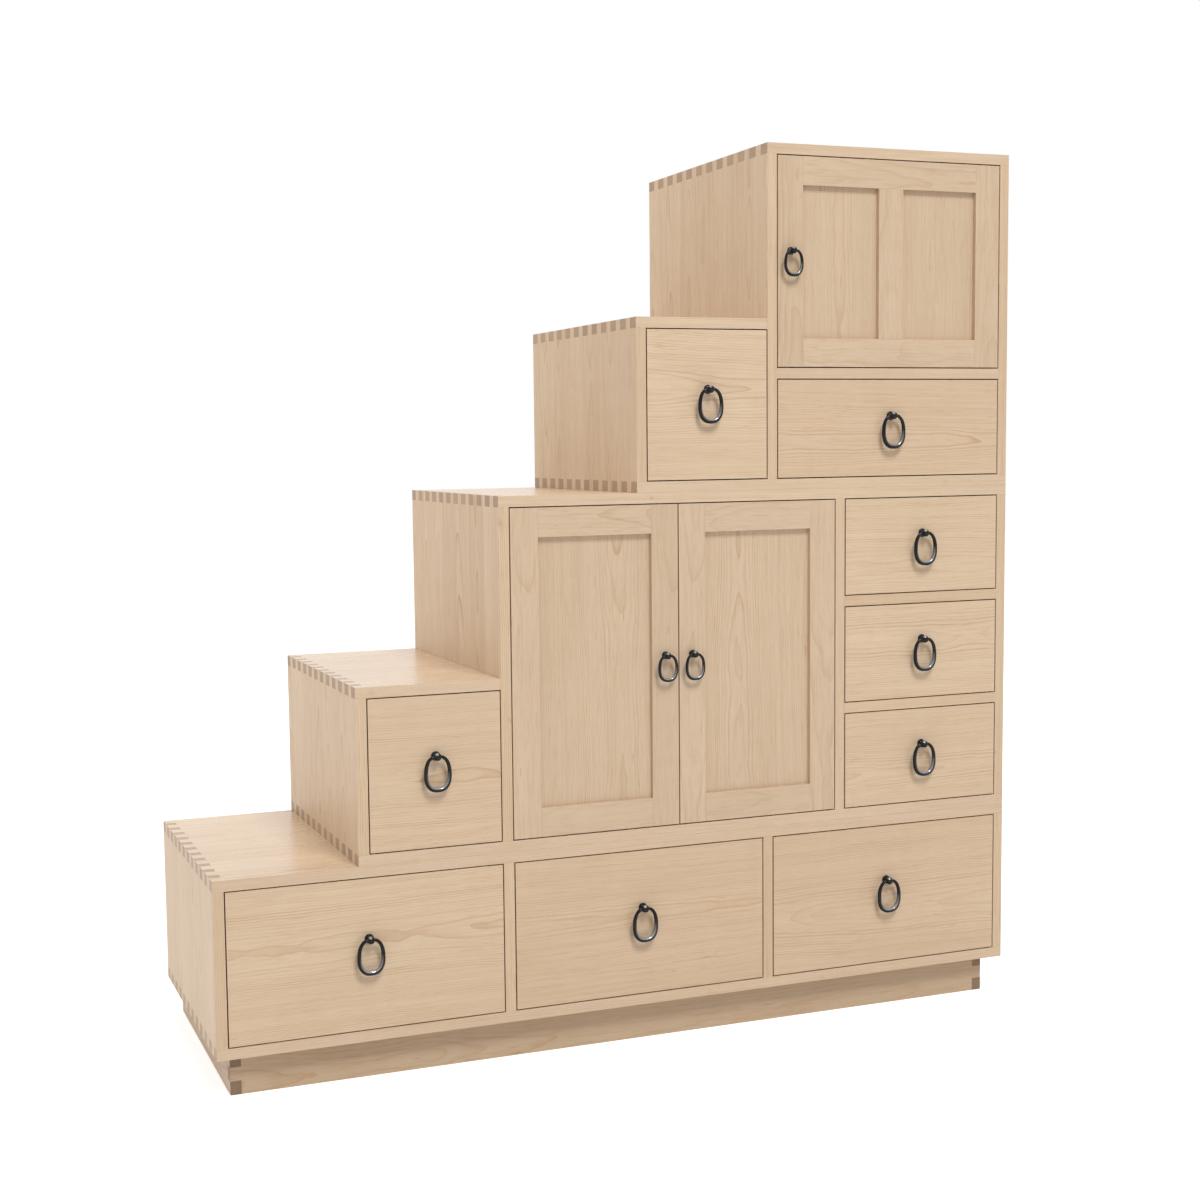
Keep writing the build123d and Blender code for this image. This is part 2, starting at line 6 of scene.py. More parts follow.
import json
import logging
import random
from contextlib import contextmanager
from dataclasses import dataclass, field
from enum import Enum
from math import copysign, cos, inf, pi, radians, sin
from typing import Callable, Iterator, Sequence

import bpy
from mathutils import Matrix, Vector

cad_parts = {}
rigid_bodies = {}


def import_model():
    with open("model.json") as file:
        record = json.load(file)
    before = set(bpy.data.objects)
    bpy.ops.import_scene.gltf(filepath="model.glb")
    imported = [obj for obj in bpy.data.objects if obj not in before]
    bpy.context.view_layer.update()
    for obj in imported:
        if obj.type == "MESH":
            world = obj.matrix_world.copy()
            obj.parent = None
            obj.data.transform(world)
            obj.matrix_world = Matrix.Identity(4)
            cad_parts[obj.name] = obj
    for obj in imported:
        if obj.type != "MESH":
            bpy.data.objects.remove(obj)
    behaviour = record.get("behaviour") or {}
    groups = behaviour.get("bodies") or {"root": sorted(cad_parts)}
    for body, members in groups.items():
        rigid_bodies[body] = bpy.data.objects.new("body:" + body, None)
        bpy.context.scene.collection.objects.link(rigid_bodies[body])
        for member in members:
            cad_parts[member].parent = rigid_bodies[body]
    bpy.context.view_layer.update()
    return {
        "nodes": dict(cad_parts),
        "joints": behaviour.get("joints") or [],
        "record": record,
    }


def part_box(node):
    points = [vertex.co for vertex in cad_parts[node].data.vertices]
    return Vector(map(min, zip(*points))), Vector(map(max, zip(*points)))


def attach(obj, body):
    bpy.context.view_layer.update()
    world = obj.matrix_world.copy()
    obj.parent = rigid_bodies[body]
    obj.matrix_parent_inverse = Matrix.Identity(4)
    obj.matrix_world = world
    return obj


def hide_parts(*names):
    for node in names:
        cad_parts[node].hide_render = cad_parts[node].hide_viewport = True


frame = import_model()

Triple = tuple[float, float, float]
Colour = Triple
Span = tuple[float, float]
Piece = bpy.types.Object
Socket = bpy.types.NodeSocket
Number = "Signal | float"
Paint = Colour | Socket

LOG = logging.getLogger("tansu")
MM = 0.001
WHITE: Colour = (1.0, 1.0, 1.0)

PLACE_DIGITS = 7  # decimals of a metre to which two corners are the same corner
FLAT_ANGLE = radians(0.5)  # faces closer than this to one plane are one face
SHARP_ANGLE = radians(30)  # the least angle of an arris that is eased
SMOOTH_ANGLE = radians(40)  # edges of the iron blunter than this are shaded smooth
ARRIS_FACETS = 2
ROUND_SIDES = 32  # sides of a bore or a rod
TRIFLE = 1e-6  # metres that are as good as none
END_SLOPE: Span = (0.45, 0.4)  # cosine to the grain where end grain begins, and over which it grows


class Axis(Enum):
    """One of the three directions of the frame."""

    X = 0
    Y = 1
    Z = 2


class Lay(Enum):
    """How the boards of a piece are cut: the grain's axis for a board that is thin on X, Y or Z."""

    CARCASS = (Axis.Z, Axis.Z, Axis.X)
    BOX = (Axis.Y, Axis.X, Axis.X)
    FRAMING = None  # along each board's longest side
    PANEL = (Axis.Z, Axis.Z, Axis.Y)


class Kind(Enum):
    """The kinds of wooden pieces, each cut and finished in its own way."""

    UPRIGHTS = "sides, dividers, backs"
    FLATS = "treads, tops, bottoms"
    PLINTH = "plinth rails"
    DRAWERS = "drawers"
    FRAMES = "door frames"
    PANELS = "door panels"


# ---- Shader maths ----
class Signal:
    """A number that varies over a surface. Arithmetic on it adds Math nodes."""

    def __init__(self, recipe: "Recipe", socket: Socket) -> None:
        """Wraps one output socket of a recipe's node."""
        self.recipe = recipe
        self.socket = socket

    def maths(self, operation: str, *values: Number) -> "Signal":
        """Adds one Math node.

        Args:
            operation: Blender's name of the operation.
            *values: its inputs in order, numbers or signals.

        Returns:
            The node's result.
        """
        inputs = dict(enumerate(values))
        node = self.recipe.node("ShaderNodeMath", {"operation": operation}, inputs)
        return Signal(self.recipe, node.outputs[0])

    def __add__(self, other: Number) -> "Signal":
        """Sum."""
        return self.maths("ADD", self, other)

    __radd__ = __add__

    def __sub__(self, other: Number) -> "Signal":
        """Difference."""
        return self.maths("SUBTRACT", self, other)

    def __rsub__(self, other: Number) -> "Signal":
        """Difference, with the number first."""
        return self.maths("SUBTRACT", other, self)

    def __mul__(self, other: Number) -> "Signal":
        """Product."""
        return self.maths("MULTIPLY", self, other)

    __rmul__ = __mul__

    def __truediv__(self, other: Number) -> "Signal":
        """Quotient."""
        return self.maths("DIVIDE", self, other)

    def __rtruediv__(self, other: Number) -> "Signal":
        """Quotient, with the number first."""
        return self.maths("DIVIDE", other, self)

    def __pow__(self, other: Number) -> "Signal":
        """Power."""
        return self.maths("POWER", self, other)

    def root(self) -> "Signal":
        """Square root."""
        return self.maths("SQRT", self)

    def floor(self) -> "Signal":
        """Whole number at or below."""
        return self.maths("FLOOR", self)

    def rest(self) -> "Signal":
        """What is left above the whole number."""
        return self.maths("FRACT", self)

    def most(self, other: Number) -> "Signal":
        """The greater of the two."""
        return self.maths("MAXIMUM", self, other)

    def swing(self) -> "Signal":
        """A noise or a chance with its middle, 0.5, taken off."""
        return self - 0.5

    def between(self, low: float, high: float) -> "Signal":
        """A smooth step.

        Args:
            low: where it is 0.
            high: where it is 1.

        Returns:
            The step's height.
        """
        values = {"Value": self, "From Min": low, "From Max": high}
        node = self.recipe.node("ShaderNodeMapRange", {"interpolation_type": "SMOOTHSTEP"}, values)
        return Signal(self.recipe, node.outputs["Result"])


class Recipe:
    """A material or world being written as nodes."""

    def __init__(self, owner: bpy.types.ID) -> None:
        """Clears the owner's node tree.

        Args:
            owner: a material or a world.
        """
        owner.use_nodes = True
        self.tree = owner.node_tree
        self.tree.nodes.clear()

    def node(self, kind: str, settings: dict | None = None, inputs: dict | None = None) -> bpy.types.Node:
        """Adds any node.

        Args:
            kind: the node's type.
            settings: its properties, set first.
            inputs: numbers, colours, signals or sockets for its inputs, by name or place.

        Returns:
            The node.
        """
        made = self.tree.nodes.new(kind)
        for name, value in (settings or {}).items():
            setattr(made, name, value)
        for place, value in (inputs or {}).items():
            socket = made.inputs[place]
            if isinstance(value, Signal):
                self.tree.links.new(value.socket, socket)
            elif isinstance(value, Socket):
                self.tree.links.new(value, socket)
            elif isinstance(value, tuple) and len(value) == 3 and socket.type == "RGBA":
                socket.default_value = (*value, 1.0)
            else:
                socket.default_value = value
        return made

    def split(self, socket: Socket) -> tuple[Signal, Signal, Signal]:
        """The three numbers of a vector."""
        outputs = self.node("ShaderNodeSeparateXYZ", inputs={0: socket}).outputs
        return Signal(self, outputs[0]), Signal(self, outputs[1]), Signal(self, outputs[2])

    def attribute(self, name: str, output: str = "Vector") -> Socket:
        """A piece's own attribute."""
        return self.node("ShaderNodeAttribute", {"attribute_name": name}).outputs[output]

    def vector(self, place: Sequence[Number]) -> Socket:
        """Three numbers as one vector."""
        return self.node("ShaderNodeCombineXYZ", inputs=dict(enumerate(place))).outputs[0]

    def noise(self, place: Sequence[Number], detail: float = 2.0, roughness: float = 0.5) -> Signal:
        """Smooth noise around 0.5 that varies over about one unit; detail is its number of octaves."""
        values = {"Vector": self.vector(place), "Scale": 1.0, "Detail": detail, "Roughness": roughness}
        return Signal(self, self.node("ShaderNodeTexNoise", inputs=values).outputs["Fac"])

    def chance(self, *place: Number) -> tuple[Signal, Signal, Signal]:
        """Draws random numbers for a place.

        Args:
            *place: three numbers that stand for the place.

        Returns:
            Three numbers from 0 to 1.
        """
        inputs = {"Vector": self.vector(place)}
        node = self.node("ShaderNodeTexWhiteNoise", {"noise_dimensions": "3D"}, inputs)
        parts = self.node("ShaderNodeSeparateColor", inputs={0: node.outputs["Color"]}).outputs
        return Signal(self, parts[0]), Signal(self, parts[1]), Signal(self, parts[2])

    def mix(self, factor: Number, first: Paint, second: Paint) -> Socket:
        """A colour between two colours: the node's inputs 6 and 7 and its output 2."""
        settings = {"data_type": "RGBA", "clamp_factor": True}
        return self.node("ShaderNodeMix", settings, {0: factor, 6: first, 7: second}).outputs[2]

    def bump(self, height: Signal, strength: float, distance: float) -> Socket:
        """The normal of a relief, its distance in metres."""
        values = {"Strength": strength, "Distance": distance, "Height": height}
        return self.node("ShaderNodeBump", inputs=values).outputs[0]

    def surface(self, shader: bpy.types.Node, kind: str = "ShaderNodeOutputMaterial") -> None:
        """Ends the recipe with its output node."""
        self.node(kind, inputs={"Surface": shader.outputs[0]})


# ---- Finishes ----
@dataclass(frozen=True)
class Spot:
    """Where a point of a board lies in its log, in metres.

    seed is the board's own number, and stave the number of its glued strip.
    """

    along: Signal
    across: Signal
    depth: Signal
    seed: Signal
    stave: Signal


@dataclass(frozen=True)
class Figure:
    """One layer of noise in a timber, in marks per metre along, across and into the board.

    salt sets the noise of one board apart from another's, and by_stave that of each strip.
    """

    along: float
    across: float
    salt: float
    into: float = 0.0
    by_stave: bool = False
    detail: float = 2.0
    roughness: float = 0.5

    def at(self, spot: Spot) -> Signal:
        """Reads the layer.

        Args:
            spot: the place in the board.

        Returns:
            Its noise there.
        """
        level = spot.seed * self.salt
        if self.into:
            level = level + spot.depth * self.into
        if self.by_stave:
            level = level + spot.stave
        place = (spot.along * self.along, spot.across * self.across, level)
        return level.recipe.noise(place, self.detail, self.roughness)


@dataclass(frozen=True)
class Timber:
    """A pale maple: growth rings of a log, cut by the board's faces, under a thin satin oil.

    The boards carry where they lie in the log, in metres, as the attributes grain, board and end.
    """

    name: str
    pale: Colour
    ground: Colour
    late: Colour
    amber: Colour
    end_pale: Colour
    end_dark: Colour
    roughness: float = 0.4
    end_roughness: float = 0.5
    gloss: float = 0.5

    # The log: how its heart lies behind each strip, and how its rings wander and lean.
    chance_salt: float = 91.0
    heart_shift: float = 0.5
    heart_depth: Span = (0.7, 0.8)  # the least, and the spread over it, as shares of pith
    drift: Figure = Figure(1.7, 5.0, 60.0, by_stave=True)
    drift_depth: float = 34 * MM
    ripple: Figure = Figure(9.0, 24.0, 31.0, by_stave=True)
    ripple_depth: float = 6 * MM
    lean: float = 0.012  # growth of the rings per metre along

    # The rings: each darkens towards its late wood and ends sharply.
    ring: float = 3.4 * MM
    ring_strength: float = 0.9
    late_power: float = 4.0
    late_end: Span = (0.93, 1.0)
    years_rate: float = 0.42
    years_salt: float = 17.0
    strong_years: Span = (0.28, 0.72)

    # The face: fibre and streaks darken it, clouds and curl shade it, a few amber marks lie in it.
    fibre: Figure = Figure(36.0, 620.0, 9.0, into=620.0, detail=3.0, roughness=0.62)
    fibre_strength: float = 1.0
    fibre_level: float = 0.44
    fibre_roughness: float = 0.12
    streak: Figure = Figure(8.0, 210.0, 23.0, into=210.0, roughness=0.6)
    streak_strength: float = 0.8
    streak_level: float = 0.52
    stave_contrast: float = 0.55
    cloud: Figure = Figure(3.2, 14.0, 41.0, by_stave=True)
    cloud_contrast: float = 0.9
    curl: Figure = Figure(38.0, 9.0, 53.0, detail=1.0)
    curl_contrast: float = 0.32
    mark: Figure = Figure(24.0, 260.0, 71.0, into=30.0, detail=1.0)
    mark_strength: float = 0.55
    mark_edge: Span = (0.70, 0.80)
    mark_clouds: Span = (0.45, 0.6)

    # The end grain: open pores, with the rings and strips still showing.
    pore_rate: float = 900.0
    pore_salt: float = 13.0
    pore_contrast: float = 0.9
    end_level: float = 0.25
    end_ring_contrast: float = 0.55
    end_stave_contrast: float = 0.4

    # The relief that is felt under the oil.
    relief: float = 0.12
    relief_depth: float = 0.2 * MM
    fibre_relief: float = 0.6
    ring_relief: float = 0.4
    pore_relief: float = 0.8

    def rings(self, spot: Spot, aside: Signal, deep: Signal) -> Signal:
        """The dark line of late wood that ends each growth ring.

        Args:
            spot: the place in the board.
            aside: how far it lies beside the heart of the log.
            deep: how far it lies before the heart.

        Returns:
            1 in the darkest wood, 0 in the early wood.
        """
        drift, ripple = self.drift.at(spot).swing(), self.ripple.at(spot).swing()
        radius = (aside * aside + deep * deep).root() + drift * self.drift_depth
        count = (radius + ripple * self.ripple_depth + spot.along * self.lean) / self.ring
        years = (count * self.years_rate, spot.stave, spot.seed * self.years_salt)
        strength = count.recipe.noise(years, detail=1.0).between(*self.strong_years)
        rest = count.rest()
        return (rest**self.late_power) * (1.0 - rest.between(*self.late_end)) * strength

    def material(self) -> bpy.types.Material:
        """Writes the material.

        Returns:
            The finished material.
        """
        made = bpy.data.materials.new(self.name)
        recipe = Recipe(made)
        along, across, depth = recipe.split(recipe.attribute("grain"))
        seed, stave_width, pith = recipe.split(recipe.attribute("board"))
        end = Signal(recipe, recipe.attribute("end", "Fac"))

        place = across / stave_width
        spot = Spot(along, across, depth, seed, place.floor())
        tone_chance, shift_chance, pith_chance = recipe.chance(spot.stave, seed * self.chance_salt, 0.0)
        aside = (place - spot.stave - 0.5 + shift_chance.swing() * self.heart_shift) * stave_width
        nearest, spread = self.heart_depth
        line = self.rings(spot, aside, depth + pith * (nearest + spread * pith_chance))

        fibre, streak, cloud = self.fibre.at(spot), self.streak.at(spot), self.cloud.at(spot)
        stave_tone = tone_chance.swing()
        tone = 0.5 + stave_tone * self.stave_contrast + cloud.swing() * self.cloud_contrast
        tone = tone + self.curl.at(spot).swing() * self.curl_contrast
        face = recipe.mix(tone, self.ground, self.pale)
        face = recipe.mix(line * self.ring_strength, face, self.late)
        fibres = (fibre - self.fibre_level) * self.fibre_strength
        face = recipe.mix(fibres + (streak - self.streak_level) * self.streak_strength, face, self.late)
        marks = self.mark.at(spot).between(*self.mark_edge) * cloud.between(*self.mark_clouds)
        face = recipe.mix(marks * self.mark_strength, face, self.amber)

        pores = recipe.noise((across * self.pore_rate, depth * self.pore_rate, seed * self.pore_salt))
        end_tone = self.end_level + self.end_ring_contrast * line + pores.swing() * self.pore_contrast
        end_tone = end_tone + stave_tone * self.end_stave_contrast
        butt = recipe.mix(end_tone, self.end_pale, self.end_dark)

        height = fibre * self.fibre_relief + line * self.ring_relief
        height = height + (pores - fibre) * end * self.pore_relief
        rough = self.roughness + fibre.swing() * self.fibre_roughness
        values = {
            "Base Color": recipe.mix(end, face, butt),
            "Roughness": rough + end * (self.end_roughness - self.roughness),
            "Specular IOR Level": self.gloss,
            "Normal": recipe.bump(height, self.relief, self.relief_depth),
        }
        recipe.surface(recipe.node("ShaderNodeBsdfPrincipled", inputs=values))
        return made


@dataclass(frozen=True)
class BlackIron:
    """Forged iron, blackened and waxed: faint hammer marks, with a finer tooth in the scale.

    Where the piece's worn-place attribute is high, the iron is painted bright and metallic: partly worn by
    fingers, partly a painted highlight. Rates are in marks per metre.
    """

    name: str = "black_iron"
    body: Colour = (0.004, 0.0045, 0.005)
    scale: Colour = (0.010, 0.011, 0.012)
    # Painted highlight, partly real rubbing: the bright colour of the worn places.
    bright: Colour = (0.50, 0.50, 0.51)
    roughness: float = 0.2
    hammer_rate: float = 210.0
    tooth_rate: float = 1500.0
    patch_rate: float = 60.0
    patch_edge: Span = (0.35, 0.7)
    least_wear_and_highlight: float = 0.55
    patch_wear_and_highlight: float = 0.75
    hammer_relief: float = 0.8
    tooth_relief: float = 0.06
    relief: float = 0.5
    relief_depth: float = 0.7 * MM
    tooth_roughness: float = 0.18
    patch_roughness: float = 0.2
    wear_and_highlight_metal: float = 0.85
    gloss: float = 0.16
    wax: float = 0.08
    wax_roughness: float = 0.12

    def material(self) -> bpy.types.Material:
        """Writes the material.

        Returns:
            The finished material.
        """
        made = bpy.data.materials.new(self.name)
        recipe = Recipe(made)
        place = recipe.split(recipe.node("ShaderNodeTexCoord").outputs["Object"])
        hammer = recipe.noise([side * self.hammer_rate for side in place], detail=1.0)
        tooth = recipe.noise([side * self.tooth_rate for side in place], detail=2.0)
        patch = recipe.noise([side * self.patch_rate for side in place], detail=3.0)
        # Painted highlight, partly real rubbing by fingers: bright, metallic iron in patches where the
        # attribute is high.
        wear_and_highlight_strength = self.least_wear_and_highlight + self.patch_wear_and_highlight * patch
        wear_and_highlight = Signal(recipe, recipe.attribute("wear_and_highlight", "Fac")) * wear_and_highlight_strength
        black = recipe.mix(patch.between(*self.patch_edge), self.body, self.scale)
        height = hammer * self.hammer_relief + tooth * self.tooth_relief
        rough = self.roughness + tooth.swing() * self.tooth_roughness
        values = {
            "Base Color": recipe.mix(wear_and_highlight, black, self.bright),
            "Roughness": rough + patch.swing() * self.patch_roughness,
            "Metallic": wear_and_highlight * self.wear_and_highlight_metal,
            "Specular IOR Level": self.gloss,
            "Coat Weight": self.wax,
            "Coat Roughness": self.wax_roughness,
            "Normal": recipe.bump(height, self.relief, self.relief_depth),
        }
        recipe.surface(recipe.node("ShaderNodeBsdfPrincipled", inputs=values))
        return made


# ---- Bench work ----
def clear_bench() -> None:
    """Deselects every object."""
    bpy.ops.object.select_all(action="DESELECT")


def take_up(piece: Piece) -> None:
    """Selects one object alone and makes it active.

    Args:
        piece: the object.
    """
    clear_bench()
    piece.select_set(True)
    bpy.context.view_layer.objects.active = piece


@contextmanager
def editing(piece: Piece, kind: str = "FACE", selected: bool = False) -> Iterator[None]:
    """Edit mode on one object.

    Args:
        piece: the object.
        kind: what is picked, VERT, EDGE or FACE.
        selected: whether all of its mesh is selected to begin with, or none.

    Returns:
        A context that leaves edit mode at its end.
    """
    take_up(piece)
    bpy.ops.object.mode_set(mode="EDIT")
    bpy.ops.mesh.select_mode(type=kind)
    bpy.ops.mesh.select_all(action="SELECT" if selected else "DESELECT")
    yield
    bpy.ops.object.mode_set(mode="OBJECT")


def pick_edges(piece: Piece, wanted: Callable[[Vector, Vector], bool]) -> None:
    """Selects edges of an object in edit mode.

    Args:
        piece: the object.
        wanted: tells by the places of its two ends whether an edge is selected.
    """
    bpy.ops.object.mode_set(mode="OBJECT")
    for edge in piece.data.edges:
        edge.select = wanted(*(piece.data.vertices[v].co for v in edge.vertices))
    bpy.ops.object.mode_set(mode="EDIT")


def fix_place() -> None:
    """Writes the active object's place, turn and size into its mesh."""
    bpy.ops.object.transform_apply(location=True, rotation=True, scale=True)


def block(size: Sequence[float], centre: Sequence[float]) -> Piece:
    """Makes a square-edged block.

    Args:
        size: its three sides.
        centre: the place of its middle.

    Returns:
        The block, its place in its mesh.
    """
    clear_bench()
    bpy.ops.mesh.primitive_cube_add(size=1, location=centre, scale=size)
    fix_place()
    return bpy.context.object


def put_on_bench(name: str, data: bpy.types.ID) -> Piece:
    """Puts a new object in the scene.

    Args:
        name: its name.
        data: its mesh, lamp or camera.

    Returns:
        The object.
    """
    piece = bpy.data.objects.new(name, data)
    bpy.context.scene.collection.objects.link(piece)
    return piece


def soften(piece: Piece, width: float) -> None:
    """Eases every sharp arris of a piece with a small bevel.

    Args:
        piece: the piece.
        width: the bevel's width.
    """
    take_up(piece)
    bevel = piece.modifiers.new("arrises", "BEVEL")
    bevel.width = width
    bevel.segments = ARRIS_FACETS
    bevel.limit_method = "ANGLE"
    bevel.angle_limit = SHARP_ANGLE
    bpy.ops.object.modifier_apply(modifier=bevel.name)


def share(value: float) -> float:
    """The value, held between 0 and 1."""
    return min(1.0, max(0.0, value))


def paint_wear_and_highlight(piece: Piece, way: Callable[[Vector], Vector], least: float) -> None:
    """Writes how far each corner of an iron piece is painted bright, as an attribute: partly worn by fingers,
    partly a painted highlight.

    Args:
        piece: the piece.
        way: the direction that is painted bright at a place, by its position; its length, up to 1, is the
            most brightening.
        least: the cosine between that direction and the surface's normal at which the brightening begins.
    """
    # Painted highlight, partly real rubbing: strongest where the normal faces the given direction.
    values = []
    for vertex in piece.data.vertices:
        worn = way(vertex.co)
        facing = vertex.normal.dot(worn.normalized())
        values.append(min(1.0, worn.length) * share((facing - least) / (1 - least)))
    piece.data.attributes.new("wear_and_highlight", "FLOAT", "POINT").data.foreach_set("value", values)


def as_one(name: str, *parts: Piece) -> Piece:
    """Joins separate meshes to one object.

    Args:
        name: its name.
        *parts: the objects that are joined.

    Returns:
        The one object.
    """
    take_up(parts[0])
    for part in parts[1:]:
        part.select_set(True)
    bpy.ops.object.join()
    whole = bpy.context.object
    whole.name = whole.data.name = name
    return whole


def settle(piece: Piece, body: str, slot: str, *nodes: str) -> None:
    """Puts a finished piece on its body, in place of CAD nodes.

    Args:
        piece: the piece, in place.
        body: the CAD body that it moves with.
        slot: the record's material slot; not used.
        *nodes: the CAD nodes that it stands for.
    """
    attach(piece, body)
    if nodes:
        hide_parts(*nodes)
    LOG.info("%s: %d faces on %s", piece.name, len(piece.data.polygons), body)


# ---- Woodwork ----
def closed_runs(mesh: bpy.types.Mesh) -> list[list[tuple]]:
    """Parts a CAD mesh of loose triangles into its solids.

    A node's triangles come solid by solid. A solid is complete once each of its edges has met the
    same edge running the other way.

    Args:
        mesh: the CAD node's mesh.

    Returns:
        For each solid, its triangles as corners in metres.
    """
    places = [tuple(round(c, PLACE_DIGITS) for c in v.co) for v in mesh.vertices]
    runs: list[list[tuple]] = [[]]
    unmet: dict[tuple, int] = {}
    for polygon in mesh.polygons:
        corners = tuple(places[v] for v in polygon.vertices)
        runs[-1].append(corners)
        for start, stop in zip(corners, corners[1:] + corners[:1]):
            if (stop, start) in unmet:
                unmet[stop, start] -= 1
                if not unmet[stop, start]:
                    del unmet[stop, start]
            else:
                unmet[start, stop] = unmet.get((start, stop), 0) + 1
        if not unmet:
            runs.append([])
    return [run for run in runs if run]


def board_copy(node: str, name: str) -> Piece:
    """Copies a CAD node with its triangles merged to whole faces, each solid apart from its neighbours.

    Args:
        node: the CAD node.
        name: the new piece's name.

    Returns:
        The copy.
    """
    corners: list[tuple] = []
    faces: list[tuple] = []
    for run in closed_runs(frame["nodes"][node].data):
        places: dict[tuple, int] = {}
        for triangle in run:
            for corner in triangle:
                if corner not in places:
                    places[corner] = len(corners)
                    corners.append(corner)
            faces.append(tuple(places[corner] for corner in triangle))
    mesh = bpy.data.meshes.new(name)
    mesh.from_pydata(corners, [], faces)
    piece = put_on_bench(name, mesh)
    with editing(piece, selected=True):
        bpy.ops.mesh.dissolve_limited(angle_limit=FLAT_ANGLE)
    return piece


def islands(mesh: bpy.types.Mesh) -> list[int]:
    """Finds the separate boards of a mesh.

    Args:
        mesh: the mesh.

    Returns:
        For each corner, the number of the board that it belongs to.
    """
    owner = list(range(len(mesh.vertices)))

    def root(corner: int) -> int:
        """Finds the corner that stands for all that are joined to one.

        Args:
            corner: that one.

        Returns:
            The corner that stands for it.
        """
        while owner[corner] != corner:
            owner[corner] = owner[owner[corner]]
            corner = owner[corner]
        return corner

    for edge in mesh.edges:
        first, second = (root(v) for v in edge.vertices)
        owner[max(first, second)] = min(first, second)
    numbers: dict[int, int] = {}
    return [numbers.setdefault(root(v), len(numbers)) for v in range(len(mesh.vertices))]


@dataclass(frozen=True)
class Cut:
    """Where the boards of a piece come from in the log.

    stave is the width of the strips that wide boards are glued up from, and pith how far the heart
    of the log lies behind a board's face.
    """

    lay: Lay
    stave: float
    pith: float
    widest: float = 1.3  # in staves, the widest board that is one strip
    spare: float = 1.02  # how much wider that one strip is than its board
    logs: Span = (2, 9)  # metres up the log, the least and the most
    strips: tuple[int, int] = (1, 40)  # strips across the log, the least and the most


@dataclass(frozen=True)
class Plan:
    """Where one board lies in its log, with its axes as places in a coordinate."""

    grain: int
    wide: int
    thin: int
    middle: list[float]
    flips: list[int]
    far: float
    strip: float
    stave: float
    seed: float

    def place(self, corner: Vector) -> list[float]:
        """Finds the place of a corner in the log.

        Args:
            corner: its place in the frame.

        Returns:
            How far it lies there along, across and into the wood.
        """
        offset = [c - m for c, m in zip(corner, self.middle)]
        along = self.far + self.flips[0] * offset[self.grain]
        return [along, self.strip * self.stave + self.flips[1] * offset[self.wide], offset[self.thin]]


def plan_board(low: list[float], high: list[float], cut: Cut, draw: random.Random) -> Plan:
    """Chooses where one board is cut from its log.

    Args:
        low: the lowest corner of its box.
        high: the highest corner.
        cut: how it is cut.
        draw: the piece's own dice.

    Returns:
        Its plan.
    """
    sides = [b - a for a, b in zip(low, high)]
    thin = sides.index(min(sides))
    grain = sides.index(max(sides)) if cut.lay is Lay.FRAMING else cut.lay.value[thin].value
    wide = sum(axis.value for axis in Axis) - thin - grain
    single = sides[wide] <= cut.widest * cut.stave
    middle = [(a + b) / 2 for a, b in zip(low, high)]
    flips = [draw.choice((-1, 1)) for _ in range(2)]
    far = draw.uniform(*cut.logs)
    strip = draw.randrange(*cut.strips) + (0.5 if single else draw.random())
    stave = sides[wide] * cut.spare if single else cut.stave
    return Plan(grain, wide, thin, middle, flips, far, strip, stave, draw.random())


def boxes(mesh: bpy.types.Mesh, owner: list[int]) -> Iterator[tuple[list[float], list[float]]]:
    """Measures the separate boards of a mesh.

    Args:
        mesh: the mesh.
        owner: the number of each corner's board.

    Returns:
        The lowest and the highest corner of each board.
    """
    count = max(owner) + 1
    lows = [[inf] * 3 for _ in range(count)]
    highs = [[-inf] * 3 for _ in range(count)]
    for vertex, board in zip(mesh.vertices, owner):
        lows[board] = [min(pair) for pair in zip(lows[board], vertex.co)]
        highs[board] = [max(pair) for pair in zip(highs[board], vertex.co)]
    return zip(lows, highs)


def lay_grain(piece: Piece, cut: Cut, seed: int) -> None:
    """Writes where each board of a piece lies in its log, for the timber's recipe.

    Args:
        piece: the piece, its modifiers applied.
        cut: how its boards are cut.
        seed: a number of its own for the piece.
    """
    mesh = piece.data
    draw = random.Random(seed)
    owner = islands(mesh)
    plans = [plan_board(low, high, cut, draw) for low, high in boxes(mesh, owner)]
    grains, boards = [], []
    for vertex, board in zip(mesh.vertices, owner):
        grains += plans[board].place(vertex.co)
        boards += [plans[board].seed, plans[board].stave, cut.pith]
    for name, values in (("grain", grains), ("board", boards)):
        mesh.attributes.new(name, "FLOAT_VECTOR", "POINT").data.foreach_set("vector", values)
    ends = []
    start, span = END_SLOPE
    for polygon in mesh.polygons:
        slope = abs(polygon.normal[plans[owner[polygon.vertices[0]]].grain])
        ends.append(share((slope - start) / span))
    mesh.attributes.new("end", "FLOAT", "FACE").data.foreach_set("value", ends)


@dataclass
class Joinery:
    """The wooden pieces of one kind, each made from its CAD node and dressed alike.

    nodes pairs each CAD node with the body that it rides on.
    """

    timber: Timber
    slot: str
    cut: Cut
    nodes: dict[str, str]
    arris: float = 0.35 * MM
    pieces: list[Piece] = field(default_factory=list)

    def build(self) -> None:
        """Copies each node and eases its arrises."""
        for node in self.nodes:
            piece = board_copy(node, f"{node}_wood")
            soften(piece, self.arris)
            self.pieces.append(piece)

    def dress(self) -> None:
        """Lays the grain, gives the timber and sets each piece on its body."""
        timber = self.timber.material()
        for piece, (node, body) in zip(self.pieces, self.nodes.items()):
            seed = sum(ord(letter) * place for place, letter in enumerate(node, start=1))
            lay_grain(piece, self.cut, seed)
            piece.data.materials.append(timber)
            settle(piece, body, self.slot, node)


# ---- Ironwork ----
def joints(start: str, end: str) -> list[dict]:
    """The CAD joints whose names start and end so."""
    return [j for j in frame["joints"] if j["name"].startswith(start) and j["name"].endswith(end)]


